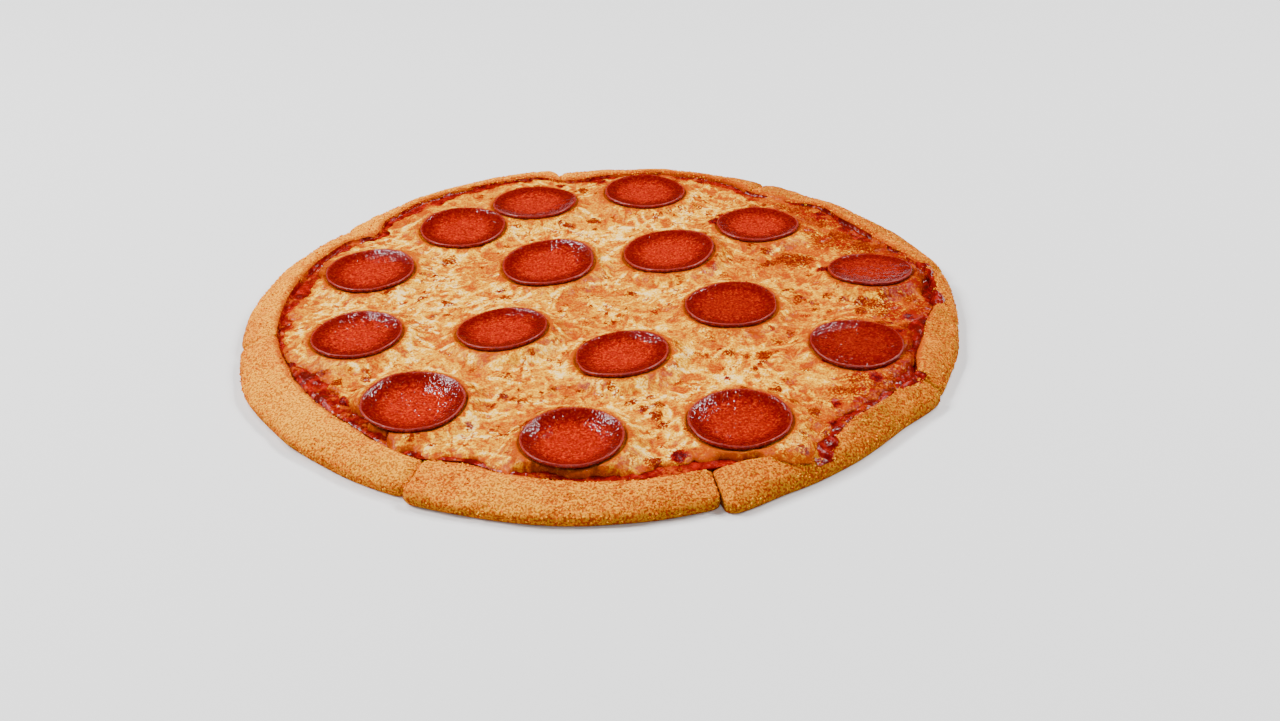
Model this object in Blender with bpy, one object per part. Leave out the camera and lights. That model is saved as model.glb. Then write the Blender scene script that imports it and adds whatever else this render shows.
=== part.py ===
"""A round pepperoni pizza, baked and cut into eight slices that still lie together.

The crust is eight wedges with a raised, rounded rim. Sauce fills the hollow inside the
rim, melted cheese covers the sauce up to an uneven edge, and sixteen cupped slices of
pepperoni sit in the cheese. Lengths below are millimetres, and angles are degrees,
counted from +X toward +Y. The underside lies at z = 0 and the cuts meet on the Z axis.
"""

import math

import bmesh
import bpy
from mathutils import Matrix, Vector, noise

MM = 0.001

# Driving dimensions
NOMINAL_RADIUS = 152.5
NOMINAL_SAUCE_RADIUS = 136.0
NOMINAL_CHEESE_RADIUS = 131.0
BASE_TOP = 6.2
SAUCE_LINE = 8.9
CREST_HEIGHT = 10.8
RIM_WAVE = 0.05
SAUCE_TOP = 7.7
CHEESE_BOTTOM = 8.05
CHEESE_TOP = 9.9
PEPPERONI_SEAT = 9.0
PEPPERONI_THICKNESS = 1.7
CLEARANCE = 0.3
SAUCE_SIDE_GAP = 1.4

# Cuts
CUT_ANGLES = (8.0, 55.5, 97.3, 143.0, 187.5, 240.5, 285.5, 329.0, 368.0)
HALF_CUT = 0.2
TIP_RADIUS = 2.0
CORNER_RADIUS = 5.0
CORNER_DROP = 2.3

# Outer radius of each slice: at its first cut, three places between, and its last cut
SLICE_RADII = (
    (155.4, 153.6, 152.2, 152.4, 153.0),
    (152.0, 149.7, 150.6, 151.0, 151.0),
    (155.6, 156.2, 153.6, 152.2, 151.0),
    (151.0, 151.4, 153.0, 152.6, 152.1),
    (152.4, 154.6, 152.8, 151.2, 150.3),
    (153.2, 152.9, 153.5, 152.6, 151.3),
    (156.6, 152.6, 151.4, 150.4, 154.6),
    (153.2, 152.4, 152.0, 152.9, 154.2),
)

# Edge of the sauce against the rim: angle, radius
SAUCE_EDGE = (
    (5, 144), (13, 140), (20, 136), (32, 135), (39, 138), (47, 131), (54, 131),
    (63, 137), (75, 139), (84, 135), (96, 130), (103, 139), (112, 141), (126, 140),
    (136, 136), (144, 128), (150, 135), (163, 136), (187, 136), (201, 134), (222, 133),
    (238, 136), (247, 131), (256, 135), (270, 137), (281, 137), (290, 138), (298, 141),
    (306, 142), (312, 138), (322, 140), (329, 141), (336, 137), (346, 137), (354, 141),
)

# Width of the bare sauce between the cheese and the rim: angle, width.
# A negative width is cheese that has run out over the crust.
SAUCE_BAND = (
    (0, 5), (12, 5), (24, 8), (33, 5), (45, 3), (60, 3), (72, 4), (96, 4), (120, 6),
    (134, 5), (150, 6), (162, 8), (176, 6), (187, 4), (198, 8), (211, 10), (223, 7),
    (236, 4), (247, 5), (257, 8), (266, 4), (278, 6), (288, 4), (292, 1), (296, -7),
    (300, -6), (305, 2), (312, 4), (322, 5), (331, 9), (338, 8), (346, 5),
)

# Where the cheese has run out over the crust
TONGUE_ANGLE = 298.0

# Pepperoni: x, y, radius, cup depth, tilt toward the front, tilt to the left,
# sag, and the side that sags
PEPPERONI = (
    (-62.7, 74.2, 20.3, 2.0, 2.2, 0.0, 0.3, 90),
    (-29.5, 99.3, 20.6, 1.5, -3.4, 1.0, 0.4, 20),
    (23.8, 108.0, 19.8, 1.5, -1.2, -1.5, 0.3, 200),
    (74.2, 65.0, 19.3, 1.5, -2.5, -0.8, 0.4, 250),
    (-101.3, 33.1, 20.0, 2.0, 0.8, 1.5, 0.4, 300),
    (-22.2, 32.1, 21.0, 2.1, 2.0, 4.5, 0.8, 320),
    (31.8, 39.2, 20.8, 1.8, 0.0, 5.0, 0.6, 310),
    (118.3, 13.4, 18.6, 1.1, -6.5, 0.0, 0.4, 270),
    (-100.9, -26.3, 19.4, 1.9, 0.0, 2.6, 0.5, 330),
    (-40.9, -27.8, 19.3, 1.9, -3.6, 3.8, 0.5, 320),
    (55.1, -13.6, 19.7, 1.6, 0.0, 1.8, 1.3, 325),
    (7.9, -52.9, 19.3, 1.9, -2.4, 5.0, 0.7, 310),
    (102.2, -51.0, 19.2, 1.2, -1.0, -1.5, 2.0, 262),
    (-72.9, -83.7, 20.5, 3.4, 2.6, 0.0, 0.0, 0),
    (-12.3, -113.8, 19.9, 3.4, 0.6, 0.8, 0.0, 0),
    (50.0, -104.7, 20.1, 2.4, 1.0, 0.0, 0.4, 235),
)

# How the cheese lies under and against the pepperoni
PRESS_GAP = 0.42
PRESSED_RADIUS = 12.0
SETTLING_WIDTH = 9.0

# Fineness of the solids
CRUST_COLUMNS = 17
CROWDING = 0.65
SAUCE_SEGMENTS = 120
CHEESE_SEGMENTS = 96
PEPPERONI_SEGMENTS = 22

COLOURS = {
    "crust": ((0.80, 0.47, 0.19), 0.75),
    "sauce": ((0.30, 0.02, 0.01), 0.30),
    "cheese": ((0.93, 0.60, 0.20), 0.35),
    "pepperoni": ((0.55, 0.05, 0.015), 0.30),
}


def clear_scene():
    for item in list(bpy.data.objects):
        bpy.data.objects.remove(item, do_unlink=True)


def ease(value):
    """A smooth step from 0 to 1, flat at both ends."""
    value = min(1.0, max(0.0, value))
    return value * value * (3.0 - 2.0 * value)


def around(table, angle):
    """The value at an angle of a closed table of (angle, value), eased between entries."""
    angle %= 360.0
    for index, (first, low) in enumerate(table):
        last, high = table[(index + 1) % len(table)]
        span = (last - first) % 360.0
        into = (angle - first) % 360.0
        if into <= span:
            return low + (high - low) * ease(into / span)
    return table[0][1]


def rim_radius(index, share):
    """Outer radius of a slice, by the share of the way from its first cut to its last."""
    radii = SLICE_RADII[index]
    place = min(0.9999, max(0.0, share)) * (len(radii) - 1)
    step = int(place)
    return radii[step] + (radii[step + 1] - radii[step]) * ease(place - step)


def corner(distance):
    """1 at a cut, easing to 0 one corner radius away: a quarter circle in plan."""
    share = min(1.0, max(0.0, 1.0 - distance / CORNER_RADIUS))
    return 1.0 - math.sqrt(1.0 - share * share * 0.98)


def rim_wave(angle):
    """Gentle rise and fall of the rim's height as the dough has baked, as a factor."""
    turn = math.radians(angle)
    wave = 0.55 * math.sin(5.0 * turn + 0.6) + 0.45 * math.sin(11.0 * turn + 2.1)
    return 1.0 + RIM_WAVE * wave


def crust_profile():
    """Section of the crust at its nominal radii, round from the underside's inner end."""
    inner = NOMINAL_SAUCE_RADIUS
    outer = NOMINAL_RADIUS
    return (
        (TIP_RADIUS, 0.0),
        (outer - 1.8, 0.0),
        (outer - 0.5, 1.4),
        (outer, 3.1),
        (outer - 0.8, 5.0),
        (outer - 3.4, 7.1),
        (outer - 7.2, 8.9),
        (outer - 10.4, 10.1),
        (inner + 3.0, CREST_HEIGHT),
        (inner + 1.0, 10.2),
        (inner, SAUCE_LINE),
        (inner - 0.2, BASE_TOP),
        (TIP_RADIUS, BASE_TOP),
    )


def shape_crust(point, index):
    """Moves a point of a nominal, evenly spun slice to its place on the baked slice."""
    start, end = CUT_ANGLES[index], CUT_ANGLES[index + 1]
    radius = math.hypot(point.x, point.y)
    height = point.z
    share = math.degrees(math.atan2(point.y, point.x)) / (end - start)
    share = min(1.0, max(0.0, share))
    share -= CROWDING * math.sin(2.0 * math.pi * share) / (2.0 * math.pi)
    angle = start + share * (end - start)
    inner = around(SAUCE_EDGE, angle)
    to_cut = min(share, 1.0 - share) * math.radians(end - start) * NOMINAL_RADIUS
    outer = rim_radius(index, share) - CORNER_DROP * 1.6 * corner(to_cut)
    if radius > NOMINAL_SAUCE_RADIUS:
        into = (radius - NOMINAL_SAUCE_RADIUS) / (NOMINAL_RADIUS - NOMINAL_SAUCE_RADIUS)
        radius = inner + into * (outer - inner)
    else:
        radius = radius * inner / NOMINAL_SAUCE_RADIUS
    if height > BASE_TOP:
        height = height * rim_wave(angle) - CORNER_DROP * corner(to_cut)
    edge = math.degrees(math.asin(min(0.9, HALF_CUT / radius)))
    angle = start + edge + share * (end - start - 2.0 * edge)
    turn = math.radians(angle)
    return Vector((radius * math.cos(turn), radius * math.sin(turn), height))


def finish_mesh(name, shape, material):
    """Turns a bmesh in millimetres into a smooth-shaded object in metres."""
    bmesh.ops.recalc_face_normals(shape, faces=shape.faces[:])
    if shape.calc_volume(signed=True) < 0.0:
        bmesh.ops.reverse_faces(shape, faces=shape.faces[:])
    bmesh.ops.transform(shape, matrix=Matrix.Scale(MM, 4), verts=shape.verts[:])
    mesh = bpy.data.meshes.new(name)
    shape.to_mesh(mesh)
    shape.free()
    mesh.materials.append(material)
    mesh.shade_smooth()
    mesh.set_sharp_from_angle(angle=math.radians(40.0))
    item = bpy.data.objects.new(name, mesh)
    bpy.data.collections["Pepperoni pizza"].objects.link(item)
    return item


def spun_slice(profile, span, columns):
    """A closed section spun through part of a turn, with both cut faces filled."""
    shape = bmesh.new()
    section = [shape.verts.new((radius, 0.0, height)) for radius, height in profile]
    edges = [shape.edges.new((a, b)) for a, b in zip(section, section[1:] + section[:1])]
    bmesh.ops.spin(
        shape,
        geom=section + edges,
        cent=(0.0, 0.0, 0.0),
        axis=(0.0, 0.0, 1.0),
        angle=math.radians(span),
        steps=columns - 1,
        use_duplicate=False,
    )
    open_edges = [edge for edge in shape.edges if edge.is_boundary]
    bmesh.ops.holes_fill(shape, edges=open_edges, sides=0)
    return shape


def spun_disc(profile, segments):
    """An open profile that starts and ends on the Z axis, spun through a full turn."""
    shape = bmesh.new()
    section = [shape.verts.new((radius, 0.0, height)) for radius, height in profile]
    edges = [shape.edges.new((a, b)) for a, b in zip(section, section[1:])]
    bmesh.ops.spin(
        shape,
        geom=section + edges,
        cent=(0.0, 0.0, 0.0),
        axis=(0.0, 0.0, 1.0),
        angle=2.0 * math.pi,
        steps=segments,
        use_merge=True,
        use_duplicate=False,
    )
    bmesh.ops.remove_doubles(shape, verts=shape.verts[:], dist=0.0001)
    return shape


def make_crust_slice(index, material):
    span = CUT_ANGLES[index + 1] - CUT_ANGLES[index]
    shape = spun_slice(crust_profile(), span, CRUST_COLUMNS)
    for vert in shape.verts:
        vert.co = shape_crust(vert.co, index)
    return finish_mesh(f"crust_slice_{index + 1}", shape, material)


def cheese_radius(angle):
    return around(SAUCE_EDGE, angle) - around(SAUCE_BAND, angle)


def shape_sauce(point):
    """Fits the nominal disc of sauce to the rim, proud of its bed outside the cheese."""
    radius = math.hypot(point.x, point.y)
    turn = math.atan2(point.y, point.x)
    angle = math.degrees(turn)
    edge = around(SAUCE_EDGE, angle) - SAUCE_SIDE_GAP
    bed = min(cheese_radius(angle), edge - 2.0)
    nominal_edge = NOMINAL_SAUCE_RADIUS
    nominal_bed = NOMINAL_CHEESE_RADIUS
    if radius > nominal_bed:
        share = (radius - nominal_bed) / (nominal_edge - nominal_bed)
        radius = bed + share * (edge - bed)
    else:
        radius *= bed / nominal_bed
    height = point.z
    if height > SAUCE_TOP:
        open_width = edge - cheese_radius(angle)
        lumps = 0.75 + 0.25 * math.sin(13.0 * turn) * math.sin(7.0 * turn + 1.0)
        height = SAUCE_TOP + (height - SAUCE_TOP) * lumps * ease((open_width - 1.5) / 2.0)
    return Vector((radius * math.cos(turn), radius * math.sin(turn), height))


def make_sauce(material):
    edge = NOMINAL_SAUCE_RADIUS
    bed = NOMINAL_CHEESE_RADIUS
    low = BASE_TOP + CLEARANCE
    profile = (
        (0.0, low),
        (edge - 2.0, low),
        (edge, SAUCE_TOP + 0.2),
        (edge - 0.8, SAUCE_TOP + 1.0),
        (edge - 2.8, SAUCE_TOP + 0.9),
        (bed + 0.7, SAUCE_TOP),
        (0.0, SAUCE_TOP),
    )
    shape = spun_disc(profile, SAUCE_SEGMENTS)
    for vert in shape.verts:
        vert.co = shape_sauce(vert.co)
    return finish_mesh("sauce", shape, material)


def seat_height(spec):
    """Height of a pepperoni's underside at its centre, so that no side sinks too deep."""
    tilt = math.radians(math.hypot(spec[4], spec[5]))
    return PEPPERONI_SEAT + 10.0 * math.sin(tilt) + 0.5 * spec[6]


def cheese_under(spec, dx, dy):
    """Height of the cheese that a pepperoni lies on, at a distance from its centre."""
    lean = dy * math.sin(math.radians(spec[4])) + dx * math.sin(math.radians(spec[5]))
    climb = (0.9 + 0.4 * spec[3]) * ease((math.hypot(dx, dy) - PRESSED_RADIUS) / (spec[2] - 8.0))
    return seat_height(spec) - PRESS_GAP - 0.75 * spec[6] + lean + climb


def cheese_height(x, y):
    """Height of the cheese's top: soft mounds, sunk under each pepperoni and risen to its sides."""
    spot = Vector((x, y, 0.0))
    mounds = 0.45 * noise.noise(spot / 17.0) + 0.45 * noise.noise(spot / 9.0 + Vector((5.0, 2.0, 0.0)))
    height = CHEESE_TOP + mounds
    for spec in PEPPERONI:
        dx, dy = x - spec[0], y - spec[1]
        past = math.hypot(dx, dy) - spec[2]
        if past > SETTLING_WIDTH:
            continue
        bed = cheese_under(spec, dx, dy)
        away = ease(past / SETTLING_WIDTH)
        height = max(height, height + (bed - height) * (1.0 - away))
        height = min(height, bed + 2.5 * away)
    return max(CHEESE_BOTTOM + 0.45, height)


def rise_over_rim(radius, angle):
    """How far the cheese is lifted where it runs out over the sauce's edge and the rim."""
    rim = around(SAUCE_EDGE, angle)
    crest = CREST_HEIGHT * (1.0 + RIM_WAVE)
    run_in = 3.5 + 2.0 * ease((13.0 - abs(angle % 360.0 - TONGUE_ANGLE)) / 5.0)
    return (crest + 3.0 * CLEARANCE - CHEESE_BOTTOM) * ease((radius - rim + run_in) / 3.2)


def shape_cheese(point):
    """Moves a point of the nominal disc of cheese to the melted sheet's uneven form."""
    radius = math.hypot(point.x, point.y)
    turn = math.atan2(point.y, point.x)
    angle = math.degrees(turn)
    wobble = 0.7 * math.sin(23.0 * turn) + 0.6 * math.sin(37.0 * turn + 0.8)
    radius *= (cheese_radius(angle) + wobble) / NOMINAL_CHEESE_RADIUS
    x, y = radius * math.cos(turn), radius * math.sin(turn)
    lifted = point.z + rise_over_rim(radius, angle)
    if point.z < CHEESE_BOTTOM + 1.0:
        return Vector((x, y, lifted))
    mound = cheese_height(x, y) - (CHEESE_TOP - point.z)
    thinned = CHEESE_BOTTOM + 0.5 * (point.z - CHEESE_BOTTOM) + rise_over_rim(radius, angle)
    return Vector((x, y, max(mound, thinned)))


def make_cheese(material):
    edge = NOMINAL_CHEESE_RADIUS
    low = CHEESE_BOTTOM
    top = CHEESE_TOP
    under = [(0.0, low), (edge - 12.0, low), (edge - 9.0, low), (edge - 6.0, low), (edge - 3.5, low)]
    side = [(edge - 0.9, low + 0.05), (edge, low + 0.5), (edge - 0.5, top - 0.75), (edge - 2.2, top - 0.3)]
    over = [(edge - 5.0, top), (edge - 10.0, top)]
    over += [(edge - 10.0 - step * 11.0, top) for step in range(1, 11)]
    shape = spun_disc(under + side + over + [(0.0, top)], CHEESE_SEGMENTS)
    for vert in shape.verts:
        vert.co = shape_cheese(vert.co)
    return finish_mesh("cheese", shape, material)


def cup_lift(distance, radius, cup):
    """How far a cupped slice has curled up at a distance from its centre."""
    share = max(0.0, (distance - 0.4 * radius) / (0.6 * radius))
    return cup * share ** 1.6


def pepperoni_profile(radius, cup):
    """Section of a cupped slice, from the axis below, round the edge, to the axis above."""
    under = [(share * radius, cup_lift(share * radius, radius, cup)) for share in (0.0, 0.5, 0.97)]
    thick = PEPPERONI_THICKNESS
    edge = [(radius, cup + 0.45 * thick), (0.985 * radius, cup + 0.9 * thick)]
    over = [(share * radius, thick + cup_lift(share * radius, radius, cup)) for share in (0.94, 0.72, 0.4, 0.0)]
    return under + edge + over


def make_pepperoni(number, spec, material):
    x, y, radius, cup, forward, left, sag, side = spec
    shape = spun_disc(pepperoni_profile(radius, cup), PEPPERONI_SEGMENTS)
    toward = Vector((math.cos(math.radians(side)), math.sin(math.radians(side)), 0.0))
    for vert in shape.verts:
        reach = max(0.0, vert.co.dot(toward) / radius - 0.2)
        turn = math.atan2(vert.co.y, vert.co.x)
        ripple = 0.22 * math.sin(3.0 * turn + number) * (vert.co.xy.length / radius) ** 2
        vert.co.z += ripple - sag * reach * reach * 1.5
    item = finish_mesh(f"pepperoni_{number:02d}", shape, material)
    item.location = (x * MM, y * MM, seat_height(spec) * MM)
    item.rotation_euler = (math.radians(forward), math.radians(-left), 0.0)
    return item


def make_material(name):
    colour, roughness = COLOURS[name]
    material = bpy.data.materials.new(name)
    material.use_nodes = True
    shader = material.node_tree.nodes["Principled BSDF"]
    shader.inputs["Base Color"].default_value = (*colour, 1.0)
    shader.inputs["Roughness"].default_value = roughness
    shader.inputs["Metallic"].default_value = 0.0
    return material


def main():
    clear_scene()
    bpy.context.scene.collection.children.link(bpy.data.collections.new("Pepperoni pizza"))
    materials = {name: make_material(name) for name in COLOURS}
    for index in range(len(SLICE_RADII)):
        make_crust_slice(index, materials["crust"])
    make_sauce(materials["sauce"])
    make_cheese(materials["cheese"])
    for number, spec in enumerate(PEPPERONI, start=1):
        make_pepperoni(number, spec, materials["pepperoni"])


main()
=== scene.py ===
"""The looks of a round pepperoni pizza, cut into slices that still lie together.

Lengths are millimetres and angles are degrees, counted from +X toward +Y, and they turn
into metres when a piece's mesh is made. The tables repeat the sizes of the solids.
"""

import math
from collections import namedtuple

import bmesh
import bpy
import numpy as np
from mathutils import Matrix, Vector


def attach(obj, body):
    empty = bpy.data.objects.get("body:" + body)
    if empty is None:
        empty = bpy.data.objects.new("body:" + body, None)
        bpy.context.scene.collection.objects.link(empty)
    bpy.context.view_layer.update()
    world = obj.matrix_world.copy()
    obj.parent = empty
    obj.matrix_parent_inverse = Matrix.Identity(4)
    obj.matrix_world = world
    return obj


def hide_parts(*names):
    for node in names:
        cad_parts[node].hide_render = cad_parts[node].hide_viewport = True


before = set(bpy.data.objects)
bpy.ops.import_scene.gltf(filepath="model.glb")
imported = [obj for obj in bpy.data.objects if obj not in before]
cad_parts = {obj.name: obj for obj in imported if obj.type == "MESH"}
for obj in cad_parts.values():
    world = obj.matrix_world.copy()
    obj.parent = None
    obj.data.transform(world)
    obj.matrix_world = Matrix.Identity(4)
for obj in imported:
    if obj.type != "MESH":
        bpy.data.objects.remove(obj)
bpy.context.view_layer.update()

MM = 0.001

# Sizes of the solids
NOMINAL_RADIUS = 152.5
SAUCE_RADIUS = 136.0
BASE_TOP = 6.2
SAUCE_LINE = 8.9
CREST_HEIGHT = 10.8
WIDEST_HEIGHT = 3.1
SAUCE_TOP = 7.7
CHEESE_BOTTOM = 8.05
CHEESE_TOP = 9.9
PEPPERONI_SEAT = 9.0
PEPPERONI_THICKNESS = 1.7

# The rim's height round the pizza: how much it varies, and its waves by share, number and phase
RIM_WAVE = 0.05
RIM_WAVES = ((0.55, 5.0, 0.6), (0.45, 11.0, 2.1))

# Cuts
CUT_ANGLES = (8.0, 55.5, 97.3, 143.0, 187.5, 240.5, 285.5, 329.0, 368.0)
HALF_CUT = 0.2
TIP_RADIUS = 2.0
CORNER_RADIUS = 5.0
CORNER_DROP = 2.3
CORNER_INSET = 1.6 * CORNER_DROP
CORNER_ROUNDNESS = 0.98

# Outer radius of each slice: at its first cut, three places between, and its last cut
SLICE_RADII = (
    (155.4, 153.6, 152.2, 152.4, 153.0),
    (152.0, 149.7, 150.6, 151.0, 151.0),
    (155.6, 156.2, 153.6, 152.2, 151.0),
    (151.0, 151.4, 153.0, 152.6, 152.1),
    (152.4, 154.6, 152.8, 151.2, 150.3),
    (153.2, 152.9, 153.5, 152.6, 151.3),
    (156.6, 152.6, 151.4, 150.4, 154.6),
    (153.2, 152.4, 152.0, 152.9, 154.2),
)

# Edge of the sauce against the rim: angle, radius
SAUCE_EDGE = (
    (5, 144), (13, 140), (20, 136), (32, 135), (39, 138), (47, 131), (54, 131),
    (63, 137), (75, 139), (84, 135), (96, 130), (103, 139), (112, 141), (126, 140),
    (136, 136), (144, 128), (150, 135), (163, 136), (187, 136), (201, 134), (222, 133),
    (238, 136), (247, 131), (256, 135), (270, 137), (281, 137), (290, 138), (298, 141),
    (306, 142), (312, 138), (322, 140), (329, 141), (336, 137), (346, 137), (354, 141),
)

# Width of the bare sauce between the cheese and the rim: angle, width
SAUCE_BAND = (
    (0, 5), (12, 5), (24, 8), (33, 5), (45, 3), (60, 3), (72, 4), (96, 4), (120, 6),
    (134, 5), (150, 6), (162, 8), (176, 6), (187, 4), (198, 8), (211, 10), (223, 7),
    (236, 4), (247, 5), (257, 8), (266, 4), (278, 6), (288, 4), (292, 1), (296, -7),
    (300, -6), (305, 2), (312, 4), (322, 5), (331, 9), (338, 8), (346, 5),
)

# Where the cheese has run out over the crust
TONGUE_ANGLE = 298.0

# Pepperoni, with the tilts toward the front and to the left, and the side that sags
Pepperoni = namedtuple("Pepperoni", "x y radius cup forward left sag side")
PEPPERONI = tuple(Pepperoni(*row) for row in (
    (-62.7, 74.2, 20.3, 2.0, 2.2, 0.0, 0.3, 90),
    (-29.5, 99.3, 20.6, 1.5, -3.4, 1.0, 0.4, 20),
    (23.8, 108.0, 19.8, 1.5, -1.2, -1.5, 0.3, 200),
    (74.2, 65.0, 19.3, 1.5, -2.5, -0.8, 0.4, 250),
    (-101.3, 33.1, 20.0, 2.0, 0.8, 1.5, 0.4, 300),
    (-22.2, 32.1, 21.0, 2.1, 2.0, 4.5, 0.8, 320),
    (31.8, 39.2, 20.8, 1.8, 0.0, 5.0, 0.6, 310),
    (118.3, 13.4, 18.6, 1.1, -6.5, 0.0, 0.4, 270),
    (-100.9, -26.3, 19.4, 1.9, 0.0, 2.6, 0.5, 330),
    (-40.9, -27.8, 19.3, 1.9, -3.6, 3.8, 0.5, 320),
    (55.1, -13.6, 19.7, 1.6, 0.0, 1.8, 1.3, 325),
    (7.9, -52.9, 19.3, 1.9, -2.4, 5.0, 0.7, 310),
    (102.2, -51.0, 19.2, 1.2, -1.0, -1.5, 2.0, 262),
    (-72.9, -83.7, 20.5, 3.4, 2.6, 0.0, 0.0, 0),
    (-12.3, -113.8, 19.9, 3.4, 0.6, 0.8, 0.0, 0),
    (50.0, -104.7, 20.1, 2.4, 1.0, 0.0, 0.4, 235),
))

# How slices lie: the lift of a tilt, flat share and curve of the cup, ripples, and the sag
TILT_LEVER = 10.0
FLAT_SHARE = 0.4
CUP_CURVE = 1.6
RIPPLE_HEIGHT = 0.22
RIPPLES = 3.0
SAG_START = 0.2
SAG_CURVE = 1.5

# Slices of pepperoni painted darker all over, and by what share
DARKER_SLICES = {8: 0.34, 11: 0.40, 13: 0.55, 16: 0.20}

# Spots on the cheese as they lie: x, y, radius
TOASTED = (
    (86, 32, 6.3), (78, 28, 3.1), (109, 53, 3.7), (116, 56, 4.7), (119, 43, 3.7), (127, 41, 3.2),
    (-1, 81, 2.6), (-7, 115, 2.5), (-13, 75, 1.9), (84, -6, 2.1), (115, -15, 3.4), (13, 4, 1.7),
    (69, 44, 1.8), (75, 39, 1.8), (81, 2, 1.7), (51, -50, 2.2), (65, -53, 2.2), (58, -53, 1.8),
    (60, -64, 1.4), (66, -81, 1.8), (95, -86, 1.8), (79, -99, 2.1), (19, -96, 2.1), (21, -103, 1.8),
    (17, -128, 2.2), (120, -16, 2.1), (109, -20, 2.1), (117, -24, 1.9), (110, -13, 2.1), (-66, 3, 1.7),
    (-70, -8, 1.3), (-39, -76, 1.6), (-33, -81, 1.5), (10, -85, 1.6), (15, -90, 2.3), (21, -88, 1.9),
    (-68, 43, 2.3), (-92, 13, 1.8), (-94, -58, 2.0), (72, 127, 2.0), (-113, -52, 1.8), (-106, -60, 2.2),
)
BARE = (
    (50, 24, 2.7), (55, 19, 1.8), (85, -21, 1.5), (88, -31, 1.7), (70, -33, 1.4), (77, -40, 1.4),
    (78, -45, 1.2), (73, -76, 1.0), (97, -94, 2.7), (23, -12, 1.8), (103, 0, 1.7), (112, 68, 3.0),
    (75, 99, 3.1), (-84, 5, 1.3),
)
BURNT = (
    (116, 60, 2.8), (105, 76, 2.4), (52, 123, 2.5), (64, 118, 2.0), (29, 131, 1.5), (58, 79, 1.2),
    (3, 126, 2.5), (-17, 124, 1.6), (47, -47, 0.6), (48, -70, 1.0), (88, -62, 1.2), (121, -41, 1.9),
    (54.5, 71, 2.2), (99.3, 18.5, 2.0), (119, -32, 1.0), (106, -75, 2.2), (88, -93, 1.7),
    (86, -106, 2.0), (26, -125, 2.2), (128, -25, 1.9), (-103, -76, 3.0),
)
PALE = (
    (81, -59, 4.2), (88, -66, 3.8), (49, -72, 4.6), (26, -27, 3.4), (125, -40, 2.0), (66, -119, 2.2),
    (-65, -112, 1.9), (-46, -115, 2.0), (-33, -129, 1.8), (21, 102, 3.8), (1, 36, 3.8), (-22, 0, 2.8),
    (-3, 87, 3.2), (-43, 13, 3.2), (-53, -48, 3.0), (-111, -34, 2.9), (35, -47, 3.0), (-17, -63, 2.2),
    (13, 69, 3.2), (82, 6, 3.4), (-118, -30, 2.7),
)

# How much the spots of each mark have grown in the oven
SPOTS = (("toast", TOASTED, 1.35), ("bare", BARE, 1.2), ("burn", BURNT, 1.45))
PALE_GROWTH = 1.2

# Burnt spots in the bare sauce: x, y, radius
SCORCHED = (
    (-127, -42, 2.6), (-119, -53, 3.6), (-110, -70, 3.0), (-107, 72, 2.6), (-99, 78, 2.4), (-131, 17, 2.6),
    (-134, -12, 2.2), (-71, -114, 2.0), (-50, -118, 2.4), (-44, -121, 2.0), (134, -17, 2.4), (3, 128, 2.5),
    (56, -128, 2.6), (110, -80, 2.5),
)

# Sauce that has run over the crust: angle, radius, half width round, half width out, thickness
STAINS = (
    (4.0, 142.8, 13.0, 3.0, 0.5),
    (355.5, 141.8, 5.5, 4.0, 1.2),
    (303.6, 144.6, 5.5, 3.8, 0.8),
    (326.5, 142.5, 6.5, 2.5, 0.5),
)

# Fineness of the meshes
CHEESE_RINGS = 156
CRUST_COLUMNS = 150
RIM_STEPS = 5
UNDERSIDE_RADII = (TIP_RADIUS, 40.0, 90.0, 130.0)
BASE_RADII = (110.0, 70.0, 30.0, TIP_RADIUS)
SAUCE_SPOKES = 1000
STAIN_ROWS = 40
PEPPERONI_SPOKES = 168
PEPPERONI_UNDER = (0.01, 0.5, 0.8, 0.93)
PEPPERONI_LIP = 11
PEPPERONI_OVER = 30

# Relief of the crust: height, size, seed and octaves of each kind, and how deep it keeps
CRUST_RELIEF = ((0.45, 11.0, 40, 2), (0.22, 3.2, 60, 2), (0.08, 1.3, 80, 1))
CRUST_SINK = 0.50
CRUST_COVER = 0.09

# Height at which the brown line runs along the rim's wall
WALL_TOP = 5.6

# Loose meal: how many grains, their radii, and how much flatter than round they may be
GRAINS = 7000
GRAIN_RADII = (0.28, 0.52)
GRAIN_FLATNESS = (0.7, 1.0)

# Strands and streaks of cheese: number, and the ranges of their sizes, bends and strengths
Strands = namedtuple("Strands", "count length width bend")
STRANDS = Strands(5200, (5.0, 19.0), (1.2, 2.8), (-0.5, 0.5))
STREAKS = Strands(5200, (1.5, 7.0), (0.7, 1.6), (-0.7, 0.7))
STRAND_REACH = 142.0
STREAK_STRENGTHS = (0.45, 1.0)
CREAM_KINDS = (0.03, 0.30)
YELLOW_KINDS = (0.42, 0.72)
FAT_KIND = 0.86

# Small toasted spots: number, reach, radii and strengths
FLECKS = 1700
FLECK_REACH = 140.0
FLECK_RADII = (0.7, 2.1)
FLECK_STRENGTHS = (0.30, 0.95)

# Relief of the cheese: mounds, crumbs, toasted and burnt spots, and its thinning at the edge
MOUND_HEIGHT = 0.45
CRUMB_HEIGHT = 0.12
SPOT_HEIGHT = 0.35
BURN_HEIGHT = 0.25
THINNEST_CHEESE = 0.25
EDGE_WIDTH = 6.0
EDGE_SHARE = 0.45
RAGGEDNESS = 4.0
BARE_SHARE = 0.66

# The cheese's rounded lip, ring by ring: how far out from its edge, and how far down
LIP_OUT = (-1.5, -1.0, -0.55, -0.2, 0.0, -0.25, -1.2, -3.5)
LIP_DOWN = (0.0, 0.10, 0.28, 0.52, 0.80, 1.0, 1.05, 1.05)

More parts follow.
